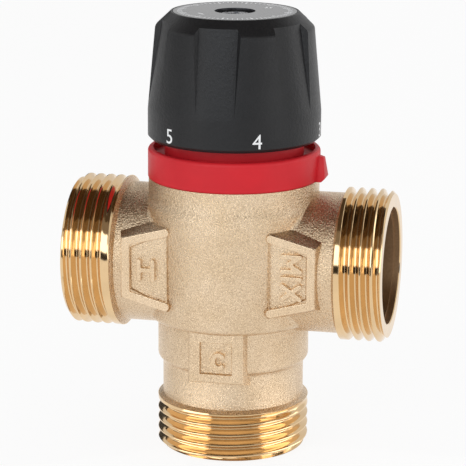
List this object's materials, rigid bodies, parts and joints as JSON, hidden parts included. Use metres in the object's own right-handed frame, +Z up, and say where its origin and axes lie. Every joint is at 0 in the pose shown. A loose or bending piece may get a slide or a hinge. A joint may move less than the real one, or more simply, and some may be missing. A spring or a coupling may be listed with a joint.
{
  "type": "thermostatic mixing valve",
  "caption": "Three-port brass mixing valve with male-threaded ports in a T, a red pointer ring and a black numbered knob that sets the mixed-water temperature.",
  "frame": {"origin": "centre of the lower port's face, on which the valve stands", "axes": "+Z up along the spindle and through the knob, +X out of the mixed-water port, -X out of the hot port, -Y towards the lettered front"},
  "size_m": [0.07, 0.0386, 0.0962],
  "materials": {
    "cast_brass": "sand-blasted casting with polished, threaded port ends",
    "turned_brass": "turned",
    "copper": "drawn copper",
    "spring_steel": "bright",
    "black_rubber": "matte",
    "white_plastic": "low-friction plastic",
    "red_plastic": "satin",
    "black_plastic": "fine spark-eroded texture",
    "printed_disc": "satin, printed"
  },
  "bodies": {
    "valve": {"valve_body": "cast_brass", "bonnet": "turned_brass", "bonnet_seal": "black_rubber", "pointer_ring": "red_plastic", "spring_seat": "turned_brass", "bore_snap_ring": "spring_steel", "return_spring": "spring_steel"},
    "handle": {"knob": "black_plastic", "knob_screw": "spring_steel", "knob_washer": "spring_steel", "knob_top_disc": "printed_disc", "spindle": "turned_brass", "spindle_seal_lower": "black_rubber", "spindle_seal_upper": "black_rubber", "thrust_washer": "white_plastic", "spindle_circlip": "spring_steel"},
    "nut": {"lift_nut": "turned_brass", "plunger_snap_ring": "spring_steel", "overload_spring": "spring_steel"},
    "plunger": {"overload_plunger": "turned_brass", "element_pin": "spring_steel"},
    "element": {"element_guide": "turned_brass", "element_cup": "copper", "shuttle": "turned_brass", "guide_clip": "spring_steel", "hot_seat_seal": "black_rubber", "cold_disc": "turned_brass", "cold_disc_clip": "spring_steel", "cold_seat_seal": "black_rubber"}
  },
  "joints": [
    {"name": "knob_turn", "type": "hinge", "parent": "valve", "child": "handle", "pos_m": [0, 0, 0.08], "axis": [0, 0, 1], "range_deg": [-124, 124]},
    {"name": "nut_lift", "type": "slide", "parent": "valve", "child": "nut", "axis": [0, 0, 1], "range_m": [-0.00052, 0.00052]},
    {"name": "overload_travel", "type": "slide", "parent": "nut", "child": "plunger", "axis": [0, 0, 1], "range_m": [0, 0.0015], "stiffness_N_per_m": 2000, "springref_m": -0.0005, "deforming": ["overload_spring"]},
    {"name": "thermal_travel", "type": "slide", "parent": "nut", "child": "element", "axis": [0, 0, 1], "range_m": [-0.0009, 0.0009], "stiffness_N_per_m": 2000, "deforming": ["return_spring"]}
  ],
  "couplings": [
    {"joint": "nut_lift", "follows": "knob_turn", "m_per_rad": 0.00023873}
  ]
}
